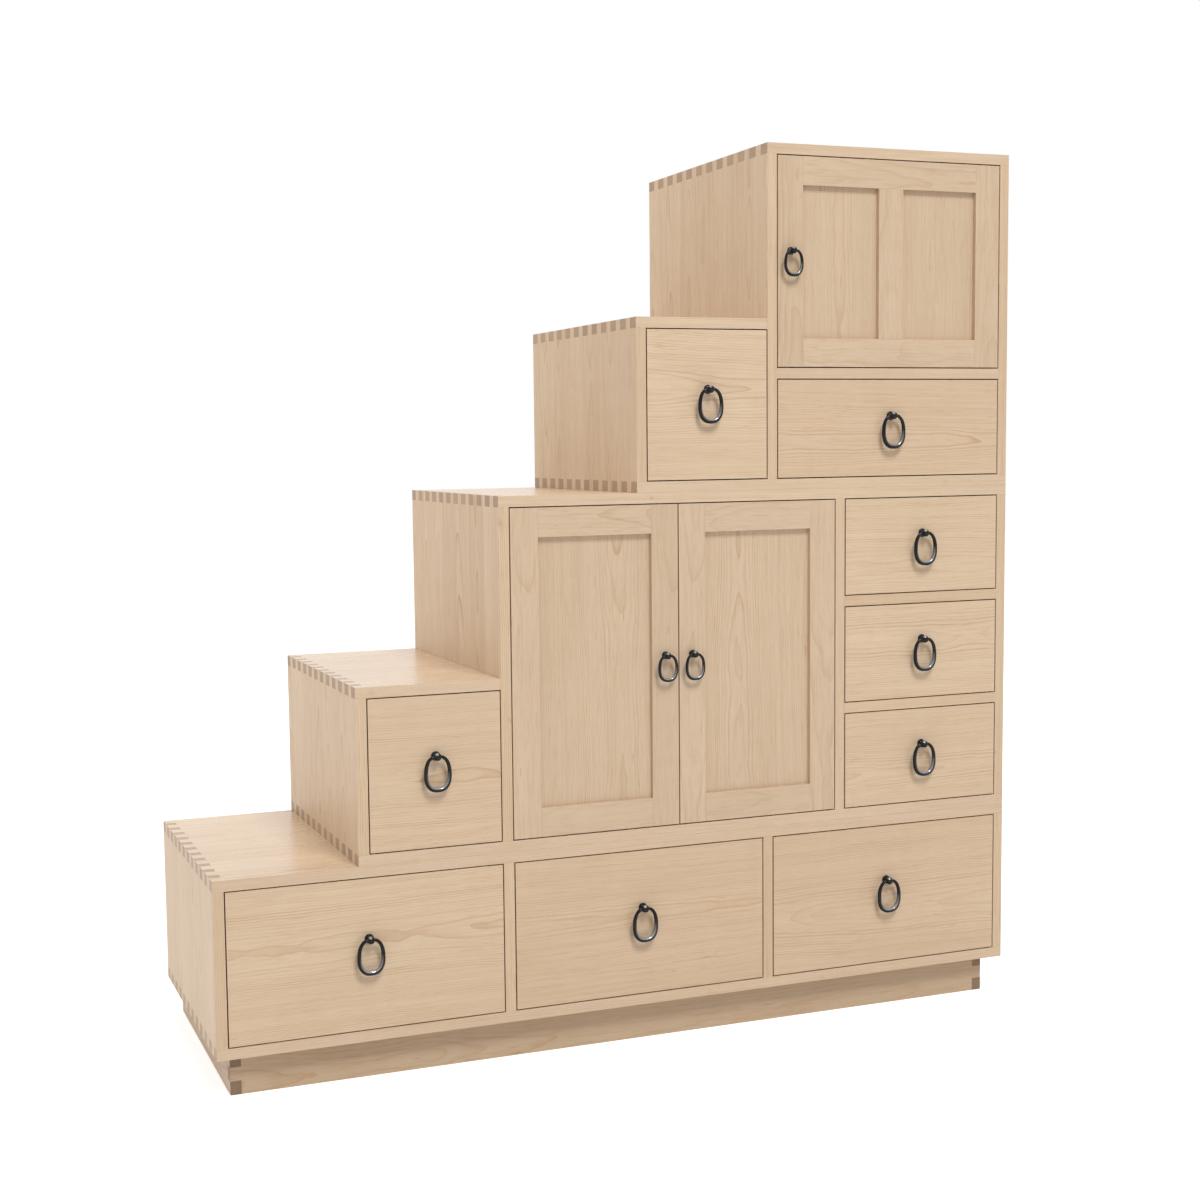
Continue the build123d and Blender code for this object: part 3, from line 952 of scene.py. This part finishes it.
@dataclass
class Ironwork:
    """Pieces of black iron, each kept with its body and the CAD nodes that it stands for."""

    iron: bpy.types.Material
    pieces: list[tuple[Piece, str, tuple[str, ...]]] = field(default_factory=list, init=False)

    def dress(self) -> None:
        """Gives each piece the iron, shades it smooth and sets it on its body."""
        for piece, body, nodes in self.pieces:
            piece.data.materials.append(self.iron)
            take_up(piece)
            bpy.ops.object.shade_smooth_by_angle(angle=SMOOTH_ANGLE)
            settle(piece, body, "black_iron", *nodes)


@dataclass
class RingPull(Ironwork):
    """A ring pull: a post with a plate, a neck and a bored ball, and an open ring that swings in it.

    It is modelled once about the ring's axis, and copied to each place.
    """

    carriers: str = "drawer"

    # The post, turned about the line from the board's face to the ball's middle.
    stand_off: float = 12 * MM
    ball: float = 6.9 * MM
    plate: float = 8.0 * MM
    plate_thickness: float = 2.2 * MM
    neck: float = 3.9 * MM
    bore: float = 2.66 * MM
    flats: int = 40
    plate_edge: tuple = ((1.0, 0.0), (1.0, 0.45), (0.94, 0.8), (0.82, 1.0))  # shares of radius and thickness
    neck_foot: tuple = ((1.25, 1.15), (1.0, 1.5))  # shares of the neck's radius and that thickness
    ball_turns: range = range(148, 0, -9)  # degrees from the ball's front

    # The ring: an egg of round wire. Its widest place lies that far below the axis, and upper and
    # lower are its heights from there. The wire starts some degrees from the top.
    half_width: float = 21.0 * MM
    widest: float = 29 * MM
    upper: float = 30 * MM
    lower: float = 27.5 * MM
    fullness: float = 2.45
    start: float = 24.0
    stations: int = 23
    wire_top: float = 2.8 * MM
    wire_bottom: float = 4.3 * MM
    wire_resolution: int = 5
    span_resolution: int = 4
    peg: float = 2.5 * MM
    peg_end: float = 0.75 * MM
    peg_out: float = 7.8 * MM

    # The tang and its two legs behind the board.
    board: float = 19 * MM
    leg: float = 14 * MM
    leg_thickness: float = 1.5 * MM
    leg_width: float = 3 * MM
    leg_cuts: int = 13
    leg_taper: Span = (0.5, 0.35)  # lost at the tip, of the width and the thickness
    leg_arris: float = 0.25 * MM
    tang_width: float = 4 * MM

    # Where the iron is painted bright, as directions and the least cosines to them: partly worn by fingers,
    # partly a painted highlight.
    finger_and_highlight_way: Triple = (0.0, -0.8, 0.25)
    finger_and_highlight_least: float = 0.7
    top_wear_and_highlight: float = 0.15
    thumb_and_highlight_way: Triple = (-0.3, -0.5, 0.8)
    thumb_and_highlight_least: float = 0.86

    def egg(self, angle: float) -> Vector:
        """A point of the ring's centre line, a superellipse with two half-heights.

        Args:
            angle: degrees from its top, round to the left.

        Returns:
            The point, from the axis of swing.
        """
        across, up = -sin(radians(angle)), cos(radians(angle))
        half = self.upper if up > 0 else self.lower
        reach = 2 / self.fullness
        x = copysign(abs(across) ** reach, across) * self.half_width
        return Vector((x, 0.0, copysign(abs(up) ** reach, up) * half - self.widest))

    def wire(self) -> list[tuple[Vector, float]]:
        """Plots the ring's wire from one peg's end to the other's.

        Returns:
            Points of its centre line, each with its radius.
        """
        outs = (self.peg_end, self.peg_out / 2, self.peg_out)
        line = [(Vector((-out, 0, 0)), self.peg) for out in outs]
        for step in range(self.stations):
            angle = self.start + (360 - 2 * self.start) * step / (self.stations - 1)
            thickening = (1 - cos(radians(angle))) / 2
            line.append((self.egg(angle), self.wire_top + (self.wire_bottom - self.wire_top) * thickening))
        return line + [(Vector((out, 0, 0)), self.peg) for out in reversed(outs)]

    def ring(self) -> Piece:
        """Bends the ring from one length of wire, thick at the bottom, with pegs for its ends.

        Returns:
            The ring, about its axis of swing.
        """
        line = self.wire()
        clear_bench()
        bpy.ops.curve.primitive_nurbs_path_add(location=(0, 0, 0))
        curve = bpy.context.object.data
        spline = curve.splines[0]
        spline.points.add(len(line) - len(spline.points))
        for point, (place, radius) in zip(spline.points, line):
            point.co = (*place, 1.0)
            point.radius = radius / MM
        spline.order_u = 3
        spline.use_endpoint_u = True
        spline.resolution_u = self.span_resolution
        curve.bevel_depth = MM
        curve.bevel_resolution = self.wire_resolution
        curve.use_fill_caps = True
        bpy.ops.object.convert(target="MESH")
        ring = bpy.context.object
        ring.name = ring.data.name = "ring_pattern"
        with editing(ring, selected=True):
            bpy.ops.mesh.remove_doubles(threshold=TRIFLE)
            bpy.ops.mesh.normals_make_consistent(inside=False)
        # Paints the ring's worn places bright, partly as a painted highlight.
        paint_wear_and_highlight(ring, self.finger_wear_and_highlight, self.finger_and_highlight_least)
        return ring

    def finger_wear_and_highlight(self, place: Vector) -> Vector:
        """Where the ring is painted bright: inside and in front, and the more the lower the place; partly
        worn by fingers, partly a painted highlight.

        Args:
            place: a point of the ring, from its axis of swing.

        Returns:
            The direction that is painted bright at the place, as long as the brightening is strong.
        """
        inward = Vector((-place.x, 0.0, -self.widest - place.z))
        depth = share(self.top_wear_and_highlight + (1 - self.top_wear_and_highlight) * inward.z / self.lower)
        return (inward.normalized() + Vector(self.finger_and_highlight_way)) * depth + Vector((0, 0, TRIFLE))

    def thumb_wear_and_highlight(self, place: Vector) -> Vector:
        """Where the ball is painted bright: in front and above, towards the left; partly worn by thumbs,
        partly a painted highlight.
        """
        return Vector(self.thumb_and_highlight_way) * (abs(place.y) < self.ball)

    def profile(self) -> list[tuple[float, float]]:
        """Plots the post's outline from the back of the plate to the front of the ball.

        Returns:
            Radius and distance before the board at each step.
        """
        steps = [(self.plate * wide, self.plate_thickness * out) for wide, out in self.plate_edge]
        steps += [(self.neck * wide, self.plate_thickness * out) for wide, out in self.neck_foot]
        for turn in map(radians, self.ball_turns):
            steps.append((self.ball * sin(turn), self.stand_off + self.ball * cos(turn)))
        return steps

    def post(self) -> Piece:
        """Turns the post, bores its ball and adds its clinched tang.

        Returns:
            The post, about the ring's axis of swing.
        """
        steps = self.profile()
        face = self.stand_off
        radius, before = steps[0]
        back = (0, face - before, 0)
        upright = (pi / 2, 0, 0)
        clear_bench()
        bpy.ops.mesh.primitive_circle_add(
            vertices=self.flats, radius=radius, fill_type="NGON", location=back, rotation=upright
        )
        post = bpy.context.object
        post.name = post.data.name = "post_pattern"
        fix_place()
        with editing(post, selected=True):
            for wide, out in steps[1:]:
                bpy.ops.mesh.extrude_region_move(TRANSFORM_OT_translate={"value": (0, before - out, 0)})
                growth = wide / radius
                bpy.ops.transform.resize(value=(growth, 1, growth), center_override=(0, face - out, 0))
                radius, before = wide, out
            bpy.ops.mesh.select_all(action="SELECT")
            bpy.ops.mesh.normals_make_consistent(inside=False)
        self.bore_ball(post)
        # Paints the ball's worn places bright, partly as a painted highlight.
        paint_wear_and_highlight(post, self.thumb_wear_and_highlight, self.thumb_and_highlight_least)
        return as_one("post_pattern", post, *self.tang())

    def bore_ball(self, post: Piece) -> None:
        """Bores the ball from side to side.

        Args:
            post: the post, about the ring's axis of swing.
        """
        clear_bench()
        sideways = (0, pi / 2, 0)
        bpy.ops.mesh.primitive_cylinder_add(
            vertices=ROUND_SIDES, radius=self.bore, depth=4 * self.ball, location=(0, 0, 0), rotation=sideways
        )
        drill = bpy.context.object
        take_up(post)
        bored = post.modifiers.new("bore", "BOOLEAN")
        bored.operation = "DIFFERENCE"
        bored.solver = "EXACT"
        bored.object = drill
        bpy.ops.object.modifier_apply(modifier=bored.name)
        bpy.data.objects.remove(drill)

    def tang(self) -> list[Piece]:
        """Makes the tang through the wood and its two legs, clinched flat and drawn to blunt points.

        Returns:
            The tang, and the two legs in one.
        """
        face = self.stand_off
        back = face + self.board
        tang = block((self.tang_width, self.board, self.leg_width), (0, face + self.board / 2, 0))
        size = (2 * self.leg, self.leg_thickness, self.leg_width)
        legs = block(size, (0, back + self.leg_thickness / 2, 0))
        with editing(legs, "EDGE"):
            pick_edges(legs, lambda first, second: abs(first.x - second.x) > self.leg)
            bpy.ops.mesh.subdivide(number_cuts=self.leg_cuts)
        narrower, thinner = self.leg_taper
        for vertex in legs.data.vertices:
            out = abs(vertex.co.x) / self.leg
            vertex.co.z *= 1 - narrower * out**3
            vertex.co.y = back + (vertex.co.y - back) * (1 - thinner * out**2)
        soften(legs, self.leg_arris)
        return [tang, legs]

    @staticmethod
    def copy(name: str, pattern: Piece, pivot: Vector) -> Piece:
        """Copies a pattern to a pull's place.

        Args:
            name: the new piece's name.
            pattern: the ring or post about its axis.
            pivot: the place of the ring's axis of swing.

        Returns:
            The copy, its place in its mesh.
        """
        mesh = pattern.data.copy()
        mesh.transform(Matrix.Translation(pivot))
        return put_on_bench(name, mesh)

    def build(self) -> None:
        """Makes a ring and a post at every ring joint of the carriers."""
        ring, post = self.ring(), self.post()
        for joint in joints(self.carriers, "_ring_swing"):
            pivot = Vector(joint["pos_m"])
            carrier, body = joint["parent"], joint["child"]
            self.pieces.append((self.copy(f"{body}_iron", ring, pivot), body, (body,)))
            own_node = f"{carrier}_post"
            replaced = (own_node,) if own_node in frame["nodes"] else ()
            self.pieces.append((self.copy(f"{own_node}_iron", post, pivot), carrier, replaced))
        for pattern in (ring, post):
            bpy.data.objects.remove(pattern)


@dataclass
class DoorPull(RingPull):
    """The smaller ring pull of the doors."""

    carriers: str = "door"
    ball: float = 6.1 * MM
    plate: float = 6.9 * MM
    plate_thickness: float = 1.8 * MM
    neck: float = 3.1 * MM
    bore: float = 2.1 * MM
    half_width: float = 16.6 * MM
    widest: float = 22.2 * MM
    upper: float = 23.0 * MM
    lower: float = 21.0 * MM
    wire_top: float = 2.25 * MM
    wire_bottom: float = 3.4 * MM
    peg: float = 1.95 * MM
    peg_out: float = 6.6 * MM


@dataclass
class DoorPivots(Ironwork):
    """The two iron pivots of a door: a square shank in the stile, a collar and a round pin.

    gap is the gap over and under the door, and running what the collar leaves free of it.
    """

    radius: float = 2.5 * MM
    shank: float = 4 * MM
    in_door: float = 12 * MM
    in_board: float = 9 * MM
    gap: float = 2 * MM
    running: float = 0.3 * MM
    collar: float = 4.8 * MM
    shank_arris: float = 0.3 * MM
    rod_arris: float = 0.4 * MM

    def build(self) -> None:
        """Makes the pivots of every door."""
        for joint in joints("door", "_turn"):
            body = joint["child"]
            low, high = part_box(f"{body}_frame")
            x, y, _ = joint["pos_m"]
            parts = self.pivot(x, y, low.z, -1) + self.pivot(x, y, high.z, 1)
            pivots = as_one(f"{body}_pivots_iron", *parts)
            self.pieces.append((pivots, body, (f"{body}_ironwork",)))

    def pivot(self, x: float, y: float, z: float, way: int) -> list[Piece]:
        """One pivot.

        Args:
            x: place of the axis.
            y: place of the axis.
            z: height of the door's edge.
            way: 1 where the pin stands up, -1 where it points down.

        Returns:
            Its shank, pin and collar.
        """
        shank = block((self.shank, self.shank, self.in_door), (x, y, z - way * self.in_door / 2))
        soften(shank, self.shank_arris)
        pin = self.rod(x, y, z, z + way * (self.gap + self.in_board), self.radius)
        collar = self.rod(x, y, z, z + way * (self.gap - self.running), self.collar)
        return [shank, pin, collar]

    def rod(self, x: float, y: float, start: float, stop: float, radius: float) -> Piece:
        """Makes an upright round rod, its ends eased.

        Args:
            x: place of its axis.
            y: place of its axis.
            start: height of one end.
            stop: height of the other end.
            radius: its radius.

        Returns:
            The rod.
        """
        clear_bench()
        middle = (x, y, (start + stop) / 2)
        bpy.ops.mesh.primitive_cylinder_add(
            vertices=ROUND_SIDES, radius=radius, depth=abs(stop - start), location=middle
        )
        rod = bpy.context.object
        fix_place()
        soften(rod, self.rod_arris)
        return rod


# ---- Studio ----
@dataclass(frozen=True)
class Lamp:
    """A square soft lamp: its power in watts, its side and place, and whether gloss mirrors it."""

    name: str
    power: float
    size: float
    place: Vector
    glints: bool = False

    def hang(self, aim: Vector) -> None:
        """Hangs the lamp, turned to a place.

        Args:
            aim: the place that it is turned to.
        """
        data = bpy.data.lights.new(self.name, "AREA")
        data.shape = "SQUARE"
        data.size = self.size
        data.energy = self.power
        lamp = put_on_bench(self.name, data)
        turn = (aim - self.place).to_track_quat("-Z", "Y").to_matrix().to_4x4()
        lamp.matrix_world = Matrix.Translation(self.place) @ turn
        lamp.visible_camera = False
        lamp.visible_glossy = self.glints


@dataclass
class Studio:
    """Camera, lights, white floor and white world."""

    # The camera: its place in metres, its turns in radians, its lens in millimetres.
    eye: Vector = field(default_factory=lambda: Vector((-1.249152, -3.065806, 1.075302)))
    yaw: float = 0.361467
    pitch: float = 0.087991
    roll: float = 0.01268
    lens: float = 52.8635
    shift: float = 0.0485

    # The key hangs high before the chest, the two weaker lamps behind its two ends.
    key: Lamp = Lamp("key", 420.0, 2.3, Vector((0.35, -5.25, 7.3)), glints=True)
    fill: Lamp = Lamp("fill", 54.0, 2.0, Vector((-2.7, 1.4, 3.0)))
    side: Lamp = Lamp("side", 42.0, 2.0, Vector((3.4, 1.9, 2.6)))
    aim: Vector = field(default_factory=lambda: Vector((0.1, 0.0, 0.75)))
    world_strength: float = 0.47

    # The floor: white paper that glows where it is seen, and more so further off.
    floor_half: float = 14.0
    paper_rate: float = 40.0
    paper_dark: Colour = (0.83, 0.83, 0.83)
    paper_pale: Colour = (0.86, 0.86, 0.86)
    near_glow: Colour = (0.47, 0.47, 0.47)
    far_glow: Colour = (0.76, 0.76, 0.76)
    near: float = 1.3
    far: float = 4.0

    def camera(self) -> None:
        """Sets up the camera at its measured place."""
        ahead = Vector((sin(self.yaw) * cos(self.pitch), cos(self.yaw) * cos(self.pitch), -sin(self.pitch)))
        level = Vector((cos(self.yaw), -sin(self.yaw), 0))
        under = ahead.cross(level)
        right = cos(self.roll) * level + sin(self.roll) * under
        down = cos(self.roll) * under - sin(self.roll) * level
        turn = Matrix((right, -down, -ahead)).transposed().to_4x4()
        data = bpy.data.cameras.new("camera")
        data.lens = self.lens
        data.shift_x = self.shift
        camera = put_on_bench("camera", data)
        camera.matrix_world = Matrix.Translation(self.eye) @ turn
        bpy.context.scene.camera = camera

    def lights(self) -> None:
        """Hangs the three lamps, turned to the middle of the chest."""
        for lamp in (self.key, self.fill, self.side):
            lamp.hang(self.aim)

    @staticmethod
    def by_ray(recipe: Recipe, lit: bpy.types.Node, seen: bpy.types.Node) -> bpy.types.Node:
        """Joins two shaders, each for some of the rays.

        Args:
            recipe: the recipe that they are in.
            lit: the shader for the rays that light things.
            seen: the shader for the rays of the camera, gloss and glass.

        Returns:
            The joined shader.
        """
        outputs = recipe.node("ShaderNodeLightPath").outputs
        kinds = ("Camera", "Glossy", "Transmission")
        camera, gloss, glass = (Signal(recipe, outputs[f"Is {kind} Ray"]) for kind in kinds)
        inputs = {0: camera.most(gloss).most(glass), 1: lit.outputs[0], 2: seen.outputs[0]}
        return recipe.node("ShaderNodeMixShader", inputs=inputs)

    def world(self) -> None:
        """Makes the world plain white where it is seen, and somewhat lower where it lights."""
        world = bpy.data.worlds.new("studio")
        bpy.context.scene.world = world
        recipe = Recipe(world)
        lit = recipe.node("ShaderNodeBackground", inputs={"Color": WHITE, "Strength": self.world_strength})
        seen = recipe.node("ShaderNodeBackground", inputs={"Color": WHITE, "Strength": 1.0})
        recipe.surface(self.by_ray(recipe, lit, seen), "ShaderNodeOutputWorld")

    def paper(self) -> bpy.types.Material:
        """A white that keeps the object's shadow and is plain white further off.

        Returns:
            The floor's material.
        """
        made = bpy.data.materials.new("floor_white")
        recipe = Recipe(made)
        x, y, _ = recipe.split(recipe.node("ShaderNodeTexCoord").outputs["Object"])
        tooth = recipe.noise((x * self.paper_rate, y * self.paper_rate, 0.0))
        colour = recipe.mix(tooth, self.paper_dark, self.paper_pale)
        plain = recipe.node("ShaderNodeBsdfDiffuse", inputs={"Color": colour})
        off = (x * x + y * y).root().between(self.near, self.far)
        shine = recipe.mix(off, self.near_glow, self.far_glow)
        glow = recipe.node("ShaderNodeEmission", inputs={"Color": shine})
        both = recipe.node("ShaderNodeAddShader", inputs={0: plain.outputs[0], 1: glow.outputs[0]})
        recipe.surface(self.by_ray(recipe, plain, both))
        return made

    def floor(self) -> None:
        """Lays the floor."""
        clear_bench()
        bpy.ops.mesh.primitive_plane_add(size=2 * self.floor_half, location=(0, 0, 0))
        floor = bpy.context.object
        floor.name = floor.data.name = "floor"
        floor.data.materials.append(self.paper())

    def build(self) -> None:
        """Sets the whole studio up."""
        self.camera()
        self.lights()
        self.world()
        self.floor()
        bpy.context.scene.view_settings.view_transform = "Standard"


# ---- The whole chest ----
MAPLE = dict(
    pale=(0.700, 0.535, 0.372),
    ground=(0.610, 0.447, 0.300),
    late=(0.450, 0.272, 0.132),
    amber=(0.430, 0.235, 0.105),
    end_pale=(0.435, 0.295, 0.182),
    end_dark=(0.262, 0.163, 0.096),
)


def maple(face: float, end: float | None = None) -> dict[str, Colour]:
    """The maple's colours at a share of their brightness, the end grain's at one of its own if given."""
    shares = {name: end if end and name.startswith("end") else face for name in MAPLE}
    return {name: tuple(part * shares[name] for part in colour) for name, colour in MAPLE.items()}


def kind_of(node: str, body: str) -> Kind | None:
    """The kind of a wooden CAD node.

    Args:
        node: the node.
        body: the body that it rides on.

    Returns:
        Its kind, or None for ironwork.
    """
    if node == "plinth_rails":
        return Kind.PLINTH
    if body == "carcass":
        return Kind.FLATS if node.endswith(("_top", "_bottom", "_shelf")) else Kind.UPRIGHTS
    if node.endswith("_frame"):
        return Kind.FRAMES
    if node.endswith("_panel"):
        return Kind.PANELS
    drawer = node.startswith("drawer") and not node.endswith(("_ring", "_post"))
    return Kind.DRAWERS if drawer else None


def nodes_of(kind: Kind) -> dict[str, str]:
    """The CAD nodes of one kind, each with the body that it rides on."""
    bodies = frame["record"]["behaviour"]["bodies"]
    return {node: body for body, nodes in bodies.items() for node in nodes if kind_of(node, body) is kind}


def joinery() -> list[Joinery]:
    """Plans the woodwork, kind by kind, each kind with its timber and its cut.

    Returns:
        The kinds, in the order in which they are built.
    """
    sides = Timber("maple_sides", ring_strength=1.05, roughness=0.5, end_roughness=0.26, gloss=0.32, **MAPLE)
    treads = Timber("maple_treads", roughness=0.27, end_roughness=0.55, gloss=0.68, **MAPLE)
    # Painted shade: the plinth's maple is darkened, its end grain the more, for the shade under the chest's
    # overhang.
    plinth = Timber("maple_plinth_painted_shade", roughness=0.5, gloss=0.3, **maple(0.88, end=0.6))
    fronts = Timber("maple_fronts", ring_strength=1.2, **maple(1.01))
    frames = Timber("maple_frames", ring_strength=0.6, **maple(0.925))
    panels = Timber("maple_panels", ring_strength=0.95, streak_strength=0.6, **maple(0.93))
    carcass = Cut(Lay.CARCASS, stave=78 * MM, pith=60 * MM)
    rails = Cut(Lay.BOX, stave=120 * MM, pith=60 * MM)
    box = Cut(Lay.BOX, stave=320 * MM, pith=45 * MM)
    framing = Cut(Lay.FRAMING, stave=120 * MM, pith=95 * MM)
    leaf = Cut(Lay.PANEL, stave=210 * MM, pith=40 * MM)
    return [
        Joinery(sides, "carcass_wood", carcass, nodes_of(Kind.UPRIGHTS)),
        Joinery(treads, "carcass_wood", carcass, nodes_of(Kind.FLATS)),
        Joinery(plinth, "carcass_wood", rails, nodes_of(Kind.PLINTH)),
        Joinery(fronts, "drawer_wood", box, nodes_of(Kind.DRAWERS)),
        Joinery(frames, "door_wood", framing, nodes_of(Kind.FRAMES)),
        Joinery(panels, "door_wood", leaf, nodes_of(Kind.PANELS)),
    ]


def main() -> None:
    """Builds the chest, sub-assembly by sub-assembly, and the studio round it."""
    logging.basicConfig(level=logging.INFO, format="%(name)s: %(message)s")
    iron = BlackIron().material()
    for assembly in [*joinery(), RingPull(iron), DoorPull(iron), DoorPivots(iron)]:
        assembly.build()
        assembly.dress()
    Studio().build()


if __name__ == "__main__":
    main()
